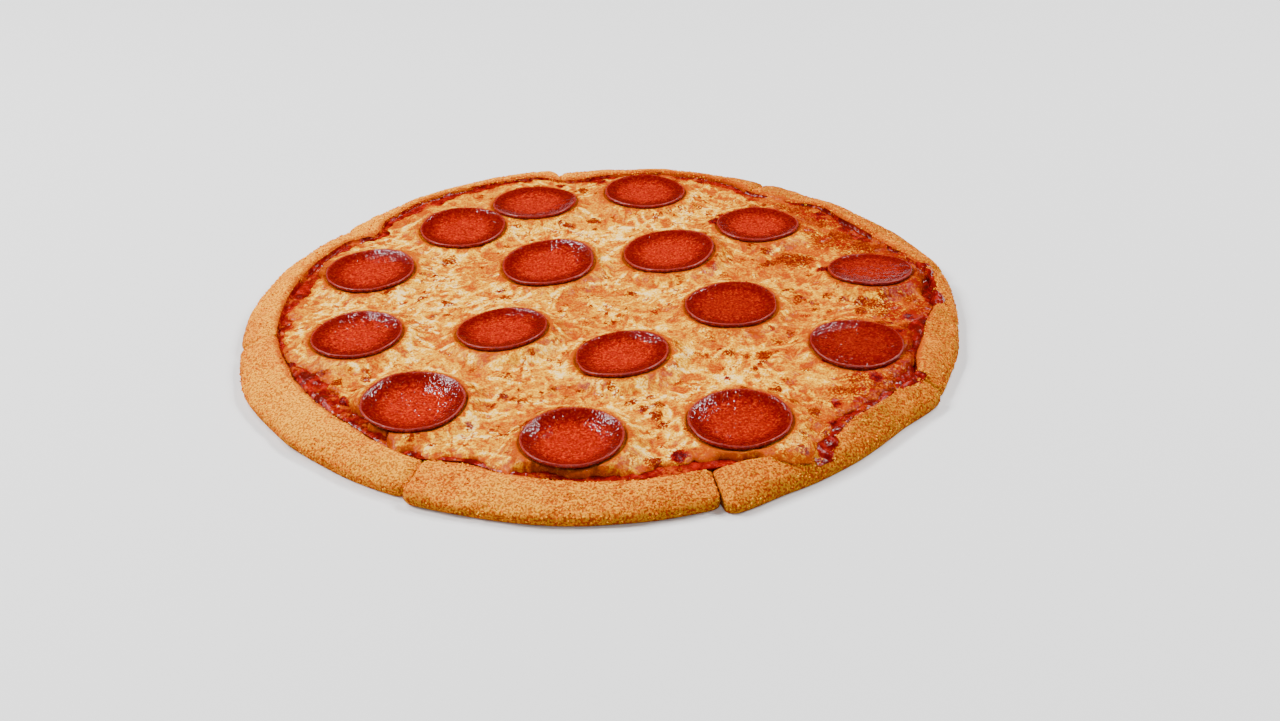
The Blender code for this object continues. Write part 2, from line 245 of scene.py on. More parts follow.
# Camera, fitted to the photograph
CAMERA_BACK = 606.4
CAMERA_HEIGHT = 327.07
CAMERA_PITCH = 29.853
CAMERA_YAW = 1.531
CAMERA_ROLL = -1.7246
CAMERA_LENS = 44.87
SENSOR_WIDTH = 36.0

# Lamps in metres and watts: name, place, size and power, each aimed at the pizza's middle
LAMPS = (
    ("left softbox", (-1.10, 0.10, 1.15), (0.50, 0.50), 35.0),
    ("right softbox", (1.10, 0.10, 1.15), (0.50, 0.50), 23.0),
    ("left spot", (-0.60, 0.62, 1.05), (0.12, 0.12), 9.0),
    ("right spot", (0.60, 0.62, 1.05), (0.12, 0.12), 9.0),
    ("front fill", (0.0, -1.4, 1.2), (1.2, 0.8), 11.0),
)
WORLD_STRENGTH = 0.05
FLOOR_REACH = 6.0
FLOOR_DROP = 0.0002
FLOOR_COLOUR = (0.86, 0.86, 0.86)

# Colours by their place on a scale: dough, loose meal, sauce, cheese and meat
DOUGH_COLOURS = (
    (0.0, (0.98, 0.37, 0.004)), (0.30, (0.78, 0.190, 0.001)), (0.55, (0.48, 0.080, 0.001)),
    (0.80, (0.26, 0.026, 0.001)), (1.0, (0.10, 0.008, 0.001)),
)
LOOSE_MEAL_COLOURS = (
    (0.0, (0.34, 0.034, 0.001)), (0.35, (0.76, 0.155, 0.001)), (0.8, (0.96, 0.36, 0.004)),
    (1.0, (0.98, 0.55, 0.04)),
)
SAUCE_COLOURS = (
    (0.25, (0.05, 0.001, 0.001)), (0.5, (0.19, 0.002, 0.001)), (0.75, (0.44, 0.010, 0.001)),
)
CHEESE_COLOURS = (
    (0.0, (0.97, 0.68, 0.27)), (0.10, (0.99, 0.61, 0.09)), (0.24, (0.94, 0.47, 0.006)),
    (0.38, (0.78, 0.325, 0.0005)), (0.56, (0.62, 0.228, 0.0005)), (0.76, (0.53, 0.114, 0.0005)),
    (1.0, (0.38, 0.044, 0.0005)),
)
MEAT_COLOURS = (
    (0.30, (0.08, 0.001, 0.001)), (0.5, (0.24, 0.002, 0.001)), (0.70, (0.45, 0.013, 0.001)),
)


def ease(value):
    """A smooth step from 0 to 1, flat at both ends."""
    value = np.clip(value, 0.0, 1.0)
    return value * value * (3.0 - 2.0 * value)


def around(table, angle):
    """Values at some angles of a closed table of (angle, value), eased between entries."""
    places = np.array([entry[0] for entry in table], dtype=float)
    values = np.array([entry[1] for entry in table], dtype=float)
    places = np.concatenate(([places[-1] - 360.0], places, [places[0] + 360.0]))
    values = np.concatenate(([values[-1]], values, [values[0]]))
    angle = np.asarray(angle, dtype=float) % 360.0
    after = np.clip(np.searchsorted(places, angle, side="right"), 1, len(places) - 1)
    share = (angle - places[after - 1]) / (places[after] - places[after - 1])
    return values[after - 1] + (values[after] - values[after - 1]) * ease(share)


def hashed(column, row, seed):
    """A steady random value from -1 to 1 for each cell of a lattice."""
    number = (column * 374761393 + row * 668265263 + seed * 974634777) & 0xFFFFFFFF
    number = ((number ^ (number >> 13)) * 1274126177) & 0xFFFFFFFF
    return (number ^ (number >> 16)) / 0x7FFFFFFF - 1.0


def cloud(x, y, cell, seed, octaves=1):
    """Smooth random hills from about -1 to 1, one to a cell, finer with each octave."""
    total = np.zeros(np.broadcast(x, y).shape)
    height = 1.0
    for octave in range(octaves):
        u, v = np.asarray(x) / cell, np.asarray(y) / cell
        column, row = np.floor(u).astype(np.int64), np.floor(v).astype(np.int64)
        s, t = ease(u - column), ease(v - row)
        key = seed + 31 * octave
        near = hashed(column, row, key) * (1 - s) + hashed(column + 1, row, key) * s
        far = hashed(column, row + 1, key) * (1 - s) + hashed(column + 1, row + 1, key) * s
        total += height * (near * (1 - t) + far * t)
        height *= 0.5
        cell *= 0.5
    return total


def rim_radius(index, share):
    """Outer radius of slices, by the share of the way from the first cut to the last."""
    radii = np.array(SLICE_RADII)
    place = np.clip(share, 0.0, 0.9999) * (radii.shape[1] - 1)
    step = place.astype(int)
    low = radii[index, step]
    return low + (radii[index, step + 1] - low) * ease(place - step)


def corner(distance):
    """1 at a cut, easing to 0 one corner radius away: a quarter circle in plan."""
    share = np.clip(1.0 - distance / CORNER_RADIUS, 0.0, 1.0)
    return 1.0 - np.sqrt(1.0 - share * share * CORNER_ROUNDNESS)


def rim_wave(angle):
    """Gentle rise and fall of the rim's height as the dough has baked, as a factor."""
    turn = np.radians(angle)
    return 1.0 + RIM_WAVE * sum(share * np.sin(count * turn + phase) for share, count, phase in RIM_WAVES)


def crust_profile():
    """Section of the crust at its nominal radii, round from the underside's inner end."""
    inner, outer = SAUCE_RADIUS, NOMINAL_RADIUS
    return (
        (TIP_RADIUS, 0.0), (outer - 1.8, 0.0), (outer - 0.5, 1.4), (outer, WIDEST_HEIGHT),
        (outer - 0.8, 5.0), (outer - 3.4, 7.1), (outer - 7.2, 8.9), (outer - 10.4, 10.1),
        (inner + 3.0, CREST_HEIGHT), (inner + 1.0, 10.2), (inner, SAUCE_LINE),
        (inner - 0.2, BASE_TOP), (TIP_RADIUS, BASE_TOP),
    )


def rounded_profile(points, steps):
    """The stretch of a section round the rim as a smooth curve through its points."""
    points = np.array(points)
    curve = []
    for index in range(1, len(points) - 2):
        before, start, end, after = points[index - 1:index + 3]
        for step in range(steps):
            t = step / steps
            curve.append(0.5 * (
                2.0 * start + (end - before) * t
                + (2.0 * before - 5.0 * start + 4.0 * end - after) * t * t
                + (3.0 * start - before - 3.0 * end + after) * t ** 3
            ))
    curve.append(points[-2])
    return np.array(curve)


def rim_section():
    """Dense section of the rim: from the underside near the edge, round, to the base's top."""
    section = crust_profile()
    guide = [(NOMINAL_RADIUS - 8.0, 0.0), (NOMINAL_RADIUS - 4.0, 0.0)] + list(section[1:-1])
    guide.append((SAUCE_RADIUS - 3.0, BASE_TOP))
    guide.append((SAUCE_RADIUS - 8.0, BASE_TOP))
    return rounded_profile(guide, RIM_STEPS)


RIM_SECTION = rim_section()


def slice_of(angle):
    """For each angle, the index of its slice and the share of the way round it."""
    angle = (np.asarray(angle, dtype=float) - CUT_ANGLES[0]) % 360.0 + CUT_ANGLES[0]
    index = np.clip(np.searchsorted(CUT_ANGLES, angle, side="right") - 1, 0, len(SLICE_RADII) - 1)
    starts = np.array(CUT_ANGLES)
    return index, (angle - starts[index]) / (starts[index + 1] - starts[index])


def crust_top(radius, angle):
    """Height of the crust's top on the rim, and of its base inside the rim."""
    inner = around(SAUCE_EDGE, angle)
    outer = rim_radius(*slice_of(angle))
    upper = RIM_SECTION[RIM_SECTION[:, 1] > WIDEST_HEIGHT + 0.1]
    upper = upper[np.argsort(upper[:, 0])]
    wide = NOMINAL_RADIUS - SAUCE_RADIUS
    place = SAUCE_RADIUS + (radius - inner) * wide / (outer - inner)
    height = np.interp(place, upper[:, 0], upper[:, 1])
    return np.where(height > BASE_TOP, height * rim_wave(angle), height)


def grid_faces(rows, columns, wrap=False, first=0):
    """Quads of a grid of points that run row by row, closed round the rows if asked."""
    row = np.arange(rows - 1)[:, None]
    column = np.arange(columns if wrap else columns - 1)[None, :]
    beside = (column + 1) % columns
    corners = (row * columns + column, row * columns + beside,
               (row + 1) * columns + beside, (row + 1) * columns + column)
    return (np.stack(corners, axis=-1).reshape(-1, 4) + first).tolist()


def add_piece(name, points, faces, material, marks):
    """Makes a smooth-shaded piece from points in millimetres, with painted attributes."""
    mesh = bpy.data.meshes.new(name)
    mesh.from_pydata((points.reshape(-1, 3) * MM).tolist(), [], faces)
    mesh.update()
    mesh.shade_smooth()
    for mark, values in marks.items():
        layer = mesh.attributes.new(mark, "FLOAT", "POINT")
        layer.data.foreach_set("value", np.asarray(values, dtype=np.float32).ravel())
    mesh.materials.append(material)
    piece = bpy.data.objects.new(name, mesh)
    bpy.context.scene.collection.objects.link(piece)
    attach(piece, "root")
    return piece


class Paint:
    """A procedural material that is put together from a few kinds of node."""

    def __init__(self, name, roughness):
        self.material = bpy.data.materials.new(name)
        self.material.use_nodes = True
        self.tree = self.material.node_tree
        self.shader = self.tree.nodes["Principled BSDF"]
        self.shader.inputs["Roughness"].default_value = roughness
        self.place = self.tree.nodes.new("ShaderNodeTexCoord").outputs["Object"]

    def link(self, source, target):
        if isinstance(source, (int, float)):
            target.default_value = source
        elif isinstance(source, tuple):
            target.default_value = (*source, 1.0)
        else:
            self.tree.links.new(source, target)

    def node(self, kind, output, inputs, **settings):
        """Adds a node with its settings and inputs, and gives one of its outputs."""
        node = self.tree.nodes.new("ShaderNode" + kind)
        for name, value in settings.items():
            setattr(node, name, value)
        for socket, source in inputs.items():
            self.link(source, node.inputs[socket])
        return node.outputs[output]

    def mark(self, name):
        """The values painted on the mesh under a name."""
        return self.node("Attribute", "Fac", {}, attribute_name=name)

    def noise(self, size, detail=3.0, roughness=0.5):
        """Noise whose features are about as large as the size given, in millimetres."""
        inputs = {"Vector": self.place, "Scale": 1.0 / (size * MM), "Detail": detail, "Roughness": roughness}
        return self.node("TexNoise", "Fac", inputs)

    def cells(self, size):
        """Distance from the middles of grains of about the size given, in millimetres."""
        return self.node("TexVoronoi", "Distance", {"Vector": self.place, "Scale": 1.0 / (size * MM)})

    def combine(self, first, second, operation="ADD"):
        return self.node("Math", 0, {0: first, 1: second}, operation=operation)

    def remap(self, value, low, high, to_low=0.0, to_high=1.0):
        inputs = {"Value": value, "From Min": low, "From Max": high, "To Min": to_low, "To Max": to_high}
        return self.node("MapRange", "Result", inputs, interpolation_type="SMOOTHSTEP")

    def shift(self, value, noise, low, high, most):
        """A value that noise raises and lowers, by so much at most."""
        return self.combine(value, self.remap(noise, low, high, -most, most))

    def vary(self, name, noise, low, high, least, most):
        """A painted mark that noise weakens and strengthens."""
        return self.combine(self.mark(name), self.remap(noise, low, high, least, most), "MULTIPLY")

    def mix(self, factor, first, second):
        return self.node("Mix", "Result", {"Factor": factor, "A": first, "B": second}, data_type="RGBA")

    def cover(self, under, value, low, high, colour, most=0.95):
        """Lays a colour over another as a value goes from low to high."""
        return self.mix(self.remap(value, low, high, 0.0, most), under, colour)

    def ramp(self, factor, stops):
        node = self.tree.nodes.new("ShaderNodeValToRGB")
        elements = node.color_ramp.elements
        while len(elements) < len(stops):
            elements.new(0.5)
        for element, (place, colour) in zip(elements, stops):
            element.position = place
            element.color = (*colour, 1.0)
        self.link(factor, node.inputs["Fac"])
        return node.outputs["Color"]

    def bump(self, height, distance, strength=1.0, under=None):
        """A bump whose full height is the distance given, in millimetres."""
        inputs = {"Height": height, "Distance": distance * MM, "Strength": strength}
        if under is not None:
            inputs["Normal"] = under
        return self.node("Bump", "Normal", inputs)

    def finish(self, colour, roughness=None, normal=None, specular=None):
        """Links what the shader takes, and leaves the rest as it is."""
        inputs = {"Base Color": colour, "Roughness": roughness, "Normal": normal}
        inputs["Specular IOR Level"] = specular
        for socket, source in inputs.items():
            if source is not None:
                self.link(source, self.shader.inputs[socket])
        return self.material


def crust_material():
    """Baked dough: golden tan, grainy with meal, browner low on the side and in patches; its brown mark is
    partly painted shade, low on the side, at the cuts and toward the right.
    """
    paint = Paint("baked crust", 0.75)
    patches = paint.remap(paint.noise(16.0, roughness=0.6), 0.35, 0.75, -0.15, 0.30)
    brown = paint.combine(paint.mark("brown"), patches)
    brown = paint.shift(brown, paint.noise(1.3, roughness=0.7), 0.3, 0.7, 0.14)
    brown = paint.shift(brown, paint.noise(4.5, roughness=0.7), 0.32, 0.68, 0.17)
    dough = paint.ramp(brown, DOUGH_COLOURS)
    light = paint.mix(0.38, dough, (0.98, 0.43, 0.008))
    dark = paint.mix(0.70, dough, (0.35, 0.040, 0.001))
    half_cells = paint.combine(paint.cells(1.0), 0.5, "MULTIPLY")
    grains = paint.combine(paint.noise(0.8, detail=1.0), half_cells, "SUBTRACT")
    mealy = paint.mix(paint.remap(grains, 0.10, 0.34), dark, light)
    stained = paint.mix(paint.mark("stain"), mealy, (0.42, 0.04, 0.001))
    normal = paint.bump(grains, 0.7, 1.0, paint.bump(paint.noise(4.0), 0.6, 0.7))
    return paint.finish(stained, normal=normal, specular=0.03)


def grain_material():
    """Coarse meal on the crust, from toasted to pale yellow."""
    paint = Paint("meal", 0.7)
    return paint.finish(paint.ramp(paint.mark("tone"), LOOSE_MEAL_COLOURS), specular=0.03)


def sauce_material():
    """Cooked tomato sauce: wet, dark red, scorched in places."""
    paint = Paint("tomato sauce", 0.3)
    mottle = paint.noise(2.5, detail=4.0, roughness=0.6)
    colour = paint.ramp(mottle, SAUCE_COLOURS)
    film = paint.shift(paint.mark("film"), paint.noise(1.5, roughness=0.7), 0.3, 0.7, 0.40)
    colour = paint.cover(colour, film, 0.30, 0.95, (0.52, 0.075, 0.001), 0.75)
    scorch = paint.shift(paint.mark("scorch"), paint.noise(1.5), 0.3, 0.7, 0.25)
    colour = paint.cover(colour, scorch, 0.35, 0.95, (0.075, 0.003, 0.002), 0.80)
    normal = paint.bump(paint.noise(2.0, detail=1.0), 0.6, 0.8)
    return paint.finish(colour, paint.remap(mottle, 0.3, 0.7, 0.14, 0.30), normal, 0.14)


def cheese_material():
    """Melted cheese: cream and yellow strands, orange fat, toasted and burnt spots."""
    paint = Paint("melted cheese", 0.35)
    fine = paint.noise(1.2, roughness=0.65)
    broad = paint.noise(4.0, roughness=0.6)
    specks = paint.combine(fine, paint.noise(0.8, detail=2.0, roughness=0.6))
    kind = paint.shift(paint.mark("kind"), specks, 0.75, 1.25, 0.24)
    kind = paint.shift(kind, broad, 0.3, 0.7, 0.12)
    colour = paint.ramp(kind, CHEESE_COLOURS)
    rust = paint.shift(paint.mark("rust"), specks, 0.75, 1.25, 0.38)
    colour = paint.cover(colour, rust, 0.2, 0.8, (0.38, 0.054, 0.0005))
    toast = paint.vary("toast", specks, 0.80, 1.20, 0.30, 1.60)
    colour = paint.cover(colour, toast, 0.12, 0.45, (0.29, 0.028, 0.0005), 1.0)
    colour = paint.cover(colour, toast, 0.45, 1.1, (0.13, 0.005, 0.001))
    bare = paint.vary("bare", specks, 0.80, 1.20, 0.50, 1.50)
    colour = paint.cover(colour, bare, 0.30, 0.80, (0.24, 0.006, 0.001))
    burn = paint.vary("burn", specks, 0.80, 1.20, 0.50, 1.50)
    colour = paint.cover(colour, burn, 0.05, 0.40, (0.26, 0.006, 0.002), 1.0)
    colour = paint.cover(colour, burn, 0.40, 1.1, (0.060, 0.002, 0.004))
    normal = paint.bump(fine, 0.2, 0.8, paint.bump(broad, 0.8, 0.8))
    return paint.finish(colour, paint.remap(broad, 0.3, 0.7, 0.12, 0.30), normal, 0.05)


def pepperoni_material():
    """Cured sausage: red meat with fat in fine grains, oily, darker toward its edge, partly as browned meat
    and partly as painted shade on the walls of its cup.
    """
    paint = Paint("pepperoni", 0.28)
    grains = paint.noise(1.6, roughness=0.7)
    flecks = paint.noise(0.95, detail=2.0, roughness=0.6)
    oil = paint.combine(paint.mark("oil"), 0.62, "MULTIPLY")
    colour = paint.mix(oil, paint.ramp(grains, MEAT_COLOURS), (0.43, 0.015, 0.001))
    colour = paint.cover(colour, flecks, 0.54, 0.66, (0.72, 0.055, 0.001), 0.65)
    colour = paint.cover(colour, flecks, 0.47, 0.36, (0.16, 0.001, 0.001), 0.75)
    # The edge mark darkens toward the rim: partly browned meat, partly painted shade on the walls of the cup.
    colour = paint.mix(paint.mark("edge"), colour, (0.09, 0.001, 0.001))
    colour = paint.mix(paint.mark("lip"), colour, (0.22, 0.008, 0.001))
    dull_lip = paint.combine(paint.mark("lip"), 0.60, "MULTIPLY")
    roughness = paint.combine(paint.remap(grains, 0.3, 0.7, 0.08, 0.14), dull_lip)
    normal = paint.bump(paint.noise(1.1, detail=1.0), 0.30)
    return paint.finish(colour, roughness, normal, 0.33)


def section_normals(section):
    """Unit vectors that point out of a section, which runs with its inside on the left."""
    along = np.gradient(section, axis=0)
    normal = np.stack((along[:, 1], -along[:, 0]), axis=1)
    return normal / np.linalg.norm(normal, axis=1, keepdims=True)


def slice_span(index):
    """The angle between a slice's two cuts, in radians."""
    return math.radians(CUT_ANGLES[index + 1] - CUT_ANGLES[index])


def cut_distance(index, share):
    """Distance round the rim from the nearer cut of a slice."""
    return np.minimum(share, 1.0 - share) * slice_span(index) * NOMINAL_RADIUS


def crust_points(index, share, nominal, lift):
    """Places points of a slice, given by share round and nominal (radius, height)."""
    start, end = CUT_ANGLES[index], CUT_ANGLES[index + 1]
    angle = start + share * (end - start)
    inner = around(SAUCE_EDGE, angle)
    notch = corner(cut_distance(index, share))
    outer = rim_radius(index, share) - CORNER_INSET * notch
    radius, height = nominal[..., 0] + lift[..., 0], nominal[..., 1]
    into = (radius - SAUCE_RADIUS) / (NOMINAL_RADIUS - SAUCE_RADIUS)
    radius = np.where(into > 0.0, inner + into * (outer - inner), radius * inner / SAUCE_RADIUS)
    raised = height * rim_wave(angle) - CORNER_DROP * notch
    above = ease((height - BASE_TOP) / 0.6)
    height = height + (raised - height) * above + lift[..., 1]
    edge = np.degrees(np.arcsin(np.minimum(0.9, HALF_CUT / radius)))
    turn = np.radians(start + edge + share * (end - start - 2.0 * edge))
    return np.stack((radius * np.cos(turn), radius * np.sin(turn), np.maximum(height, 0.0)), axis=-1)


def crust_relief(arc, along, index):
    """Unevenness of the baked surface: dents, blisters and small pits, none of it proud."""
    relief = sum(height * cloud(arc, along, size, seed + index, octaves)
                 for height, size, seed, octaves in CRUST_RELIEF)
    return np.minimum(relief - CRUST_SINK, -CRUST_COVER)


def crust_section():
    """The whole section of a slice with its outward normals and the length along it."""
    under = np.array([(radius, 0.0) for radius in UNDERSIDE_RADII])
    inner = np.array([(radius, BASE_TOP) for radius in BASE_RADII])
    section = np.concatenate((under, RIM_SECTION, inner))
    lengths = np.concatenate(([0.0], np.cumsum(np.linalg.norm(np.diff(section, axis=0), axis=1))))
    return section, section_normals(section), lengths


def crust_marks(index, arc, along, section, on_rim, to_cut, x):
    """How brown a slice is, partly as painted shade, and where the sauce has stained it."""
    out, height = section[:, :1], section[:, 1:]
    # Browner low on the rim's outer wall: partly baked colour at its foot, partly painted shade on that side.
    wall = ease((WALL_TOP - height) / 2.5) * (out > SAUCE_RADIUS + 5.0)
    line = np.exp(-(height - WALL_TOP) ** 2) * (out > NOMINAL_RADIUS - 5.0)
    line = line * (0.45 + 0.55 * cloud(arc, along, 9.0, 340 + index, 2))
    patch = 0.25 * ease(cloud(arc, along, 20.0, 300 + index, 2) - 0.1)
    under = ease((0.15 - height) / 0.1) * 0.35
    # Browner toward the right, paler at the left: partly baking, partly painted shade of light that falls
    # from the left.
    baked = 0.70 * ease((x + 120.0) / 240.0) - 0.10
    brown = 0.02 + 0.70 * wall + 0.40 * line + patch * on_rim + under + baked
    # Browner within about a millimetre of each cut: painted shade in the crack between slices.
    brown += 0.15 * np.exp(-to_cut) * on_rim
    past_sauce = np.abs(out - SAUCE_RADIUS) + 0.8 * cloud(arc, along, 4.0, 420 + index, 2)
    stain = 0.8 * ease((3.2 - past_sauce) / 2.5) * (height > BASE_TOP - 1.0)
    return {"brown": brown, "stain": stain}


def make_crust_slice(index, material):
    """One slice of crust, with its columns closer together toward the cuts."""
    share = np.linspace(0.0, 1.0, CRUST_COLUMNS)
    share = share - 0.5 * np.sin(2.0 * math.pi * share) / (2.0 * math.pi)
    section, normals, lengths = crust_section()
    rows = len(section)
    on_rim = ease((section[:, :1] - SAUCE_RADIUS + 2.0) / 3.0) * ease((section[:, 1:] - 0.2) / 1.5)
    arc, along = share * slice_span(index) * NOMINAL_RADIUS, lengths[:, None]
    relief = crust_relief(arc, along, index) * on_rim
    lift = relief[..., None] * normals[:, None, :]
    points = crust_points(index, share, section[:, None, :], lift)
    marks = crust_marks(index, arc, along, section, on_rim, cut_distance(index, share), points[..., 0])
    last = (rows - 1) * CRUST_COLUMNS
    join = [[last + c, last + c + 1, c + 1, c] for c in range(CRUST_COLUMNS - 1)]
    caps = [[r * CRUST_COLUMNS for r in range(rows)],
            [r * CRUST_COLUMNS + CRUST_COLUMNS - 1 for r in reversed(range(rows))]]
    faces = grid_faces(rows, CRUST_COLUMNS) + join + caps
    piece = add_piece(f"crust_{index + 1}", points, faces, material, marks)
    face_outward(piece)
    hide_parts(f"crust_slice_{index + 1}")


def face_outward(piece):
    """Turns a closed piece's faces outward."""
    shape = bmesh.new()
    shape.from_mesh(piece.data)
    bmesh.ops.recalc_face_normals(shape, faces=shape.faces[:])
    if shape.calc_volume(signed=True) < 0.0:
        bmesh.ops.reverse_faces(shape, faces=shape.faces[:])
    shape.to_mesh(piece.data)
    shape.free()


def unit_lump():
    """Points and faces of a coarse ball with a radius of 1."""
    shape = bmesh.new()
    bmesh.ops.create_icosphere(shape, subdivisions=1, radius=1.0)
    points = np.array([vert.co[:] for vert in shape.verts])
    faces = np.array([[vert.index for vert in face.verts] for face in shape.faces])
    shape.free()
    return points, faces


def make_grains(material):
    """Coarse meal that lies on the rim, half sunk in it: one mesh of small lumps."""
    random = np.random.default_rng(11)
    ball, ball_faces = unit_lump()
    section, normals, lengths = crust_section()
    on_rim = (section[:, 1] > 1.0) & (section[:, 0] > SAUCE_RADIUS - 0.1)
    first, last = np.flatnonzero(on_rim)[[0, -1]]
    centres, tones, sizes = [], [], []
    for index in range(len(SLICE_RADII)):
        count = int(GRAINS * (CUT_ANGLES[index + 1] - CUT_ANGLES[index]) / 360.0)
        share = random.uniform(0.004, 0.996, count)
        along = random.uniform(lengths[first], lengths[last], count)
        step = np.searchsorted(lengths, along) - 1
        part = ((along - lengths[step]) / (lengths[step + 1] - lengths[step]))[:, None]
        nominal = section[step] * (1 - part) + section[step + 1] * part
        size = random.uniform(*GRAIN_RADII, count)
        depth = crust_relief(share * slice_span(index) * NOMINAL_RADIUS, along, index)
        depth = np.minimum(depth + 0.2 * size, -CRUST_COVER - size)
        centres.append(crust_points(index, share, nominal, normals[step] * depth[:, None]))
        sizes.append(size)
        tones.append(random.uniform(0.0, 1.0, count))
    centres = np.concatenate(centres)
    count = len(centres)
    sizes = np.concatenate(sizes)[:, None, None] * random.uniform(*GRAIN_FLATNESS, (count, 1, 3))
    turns = np.linalg.qr(random.normal(size=(count, 3, 3)))[0]
    points = np.einsum("nij,nkj->nki", turns, ball[None] * sizes) + centres[:, None, :]
    faces = (ball_faces[None] + (np.arange(count) * len(ball))[:, None, None]).reshape(-1, 3).tolist()
    tone = np.repeat(np.concatenate(tones), len(ball))
    add_piece("meal", points, faces, material, {"tone": tone})


def seat_height(spec):
    """Height of a pepperoni's underside at its centre."""
    tilt = math.radians(math.hypot(spec.forward, spec.left))
    return PEPPERONI_SEAT + TILT_LEVER * math.sin(tilt) + 0.5 * spec.sag


def cup_lift(distance, spec):
    """How far a cupped slice has curled up at a distance from its centre."""
    flat = FLAT_SHARE * spec.radius
    return spec.cup * np.maximum(0.0, (distance - flat) / ((1.0 - FLAT_SHARE) * spec.radius)) ** CUP_CURVE


def ripple(turn, share, number):
    """Ripples of a slice's edge, by the angle round it in radians and the share of its radius."""
    return RIPPLE_HEIGHT * np.sin(RIPPLES * turn + number) * share ** 2


def sag_depth(spec, dx, dy):
    """How far a slice has sunk on its sagging side, by the distance from its centre."""
    side = math.radians(spec.side)
    reach = np.maximum(0.0, (dx * math.cos(side) + dy * math.sin(side)) / spec.radius - SAG_START)
    return spec.sag * reach * reach * SAG_CURVE


def pepperoni_under(spec, number, x, y):
    """Height of a pepperoni's underside above a place, as if it went on past its edge."""
    dx, dy = x - spec.x, y - spec.y
    distance = np.hypot(dx, dy)
    lean = dy * math.sin(math.radians(spec.forward)) + dx * math.sin(math.radians(spec.left))
    wave = ripple(np.arctan2(dy, dx), distance / spec.radius, number)
    lift = cup_lift(np.minimum(distance, spec.radius), spec)
    return seat_height(spec) + lift + lean + wave - sag_depth(spec, dx, dy), distance


def cheese_radius(angle):
    """Radius of the cheese's uneven edge at some angles."""
    turn = np.radians(angle)
    wobble = 0.5 * np.sin(23.0 * turn) + 0.4 * np.sin(37.0 * turn + 0.8)
    x, y = np.cos(turn) * SAUCE_RADIUS, np.sin(turn) * SAUCE_RADIUS
    ragged = RAGGEDNESS * cloud(x, y, 11.0, 7, 5)
    band = around(SAUCE_BAND, angle)
    return around(SAUCE_EDGE, angle) - np.where(band > 0.0, BARE_SHARE * band, band) + wobble + ragged


class Canvas:
    """A fine raster over the pizza on which the cheese's strands and spots are laid."""

    CELL = 0.4
    HALF = 158.0

    def __init__(self):
        count = int(2 * self.HALF / self.CELL)
        self.line = (np.arange(count) + 0.5) * self.CELL - self.HALF
        shape = (count, count)
        self.fields = {name: np.zeros(shape) for name in ("level", "rust", "toast", "bare", "burn")}
        self.fields["kind"] = np.full(shape, FAT_KIND)

    def window(self, x, y, reach):
        """The cells round a place, and how far each of their columns and rows is from it."""
        low_x, high_x = np.searchsorted(self.line, (x - reach, x + reach))
        low_y, high_y = np.searchsorted(self.line, (y - reach, y + reach))
        spot = (slice(low_y, high_y), slice(low_x, high_x))
        return spot, self.line[None, low_x:high_x] - x, self.line[low_y:high_y, None] - y

    def strand(self, random, x, y, sizes):
        """The cells that a strand with a drawn size, turn and bend covers, and how much."""
        length, width = random.uniform(*sizes.length), random.uniform(*sizes.width)
        turn, bend = random.uniform(0.0, math.pi), random.uniform(*sizes.bend)
        spot, dx, dy = self.window(x, y, 0.5 * length + width)
        along = dx * math.cos(turn) + dy * math.sin(turn)
        across = dy * math.cos(turn) - dx * math.sin(turn) - bend * along * along / length
        past = np.maximum(np.abs(along) - 0.5 * (length - width), 0.0)
        distance = np.hypot(past, across) / (0.5 * width)
        return spot, ease((1.3 - distance) / 0.6)

    def blot(self, x, y, radius, seed, ragged=0.5):
        """The cells of a spot with an uneven outline, and how deep inside it each is."""
        spot, dx, dy = self.window(x, y, 2.2 * radius)
        uneven = ragged * cloud(dx + x, dy + y, 0.9 * radius, seed, 2)
        return spot, ease((1.35 - np.hypot(dx, dy) / radius + uneven) / 0.9)

    def blend(self, name, spot, value, cover, most=1.0):
        """Moves a field toward a value where something covers it."""
        self.fields[name][spot] += (value - self.fields[name][spot]) * cover * most

    def raise_to(self, name, spot, values):
        """Raises a field to some values where it is lower."""
        self.fields[name][spot] = np.maximum(self.fields[name][spot], values)

    def sample(self, name, x, y):
        """Values of a field at places between the cells' middles."""
        field = self.fields[name]
        u = np.clip((x + self.HALF) / self.CELL - 0.5, 0, len(self.line) - 1.001)
        v = np.clip((y + self.HALF) / self.CELL - 0.5, 0, len(self.line) - 1.001)
        column, row = u.astype(int), v.astype(int)
        s, t = u - column, v - row
        near = field[row, column] * (1 - s) + field[row, column + 1] * s
        far = field[row + 1, column] * (1 - s) + field[row + 1, column + 1] * s
        return near * (1 - t) + far * t


def patch_at(x, y, cell, seed):
    """The value of a cloud with two octaves at one place."""
    return float(cloud(np.array(x), np.array(y), cell, seed, 2))


def lay_strands(canvas, random):
    """Shreds of two cheeses that have melted over each other, with orange fat between them."""
    for _ in range(STRANDS.count):
        x, y = random.uniform(-STRAND_REACH, STRAND_REACH, 2)
        spot, cover = canvas.strand(random, x, y, STRANDS)
        yellow = random.uniform() < 0.48 + 0.36 * patch_at(x, y, 26.0, 5)
        kind = random.uniform(*(YELLOW_KINDS if yellow else CREAM_KINDS))
        canvas.blend("kind", spot, kind, cover, 0.9)
        canvas.blend("level", spot, random.uniform(0.3, 1.0), cover)


def lay_streaks(canvas, random):
    """Thin orange lines of fat and browning between the shreds, more of them at the right."""
    for _ in range(STREAKS.count):
        x, y = random.uniform(-STRAND_REACH, STRAND_REACH, 2)
        chance = 0.40 + 0.34 * float(ease((x + 20.0) / 90.0)) + 0.4 * patch_at(x, y, 18.0, 9)
        if random.uniform() > chance:
            continue
        spot, cover = canvas.strand(random, x, y, STREAKS)
        canvas.raise_to("rust", spot, cover * random.uniform(*STREAK_STRENGTHS))


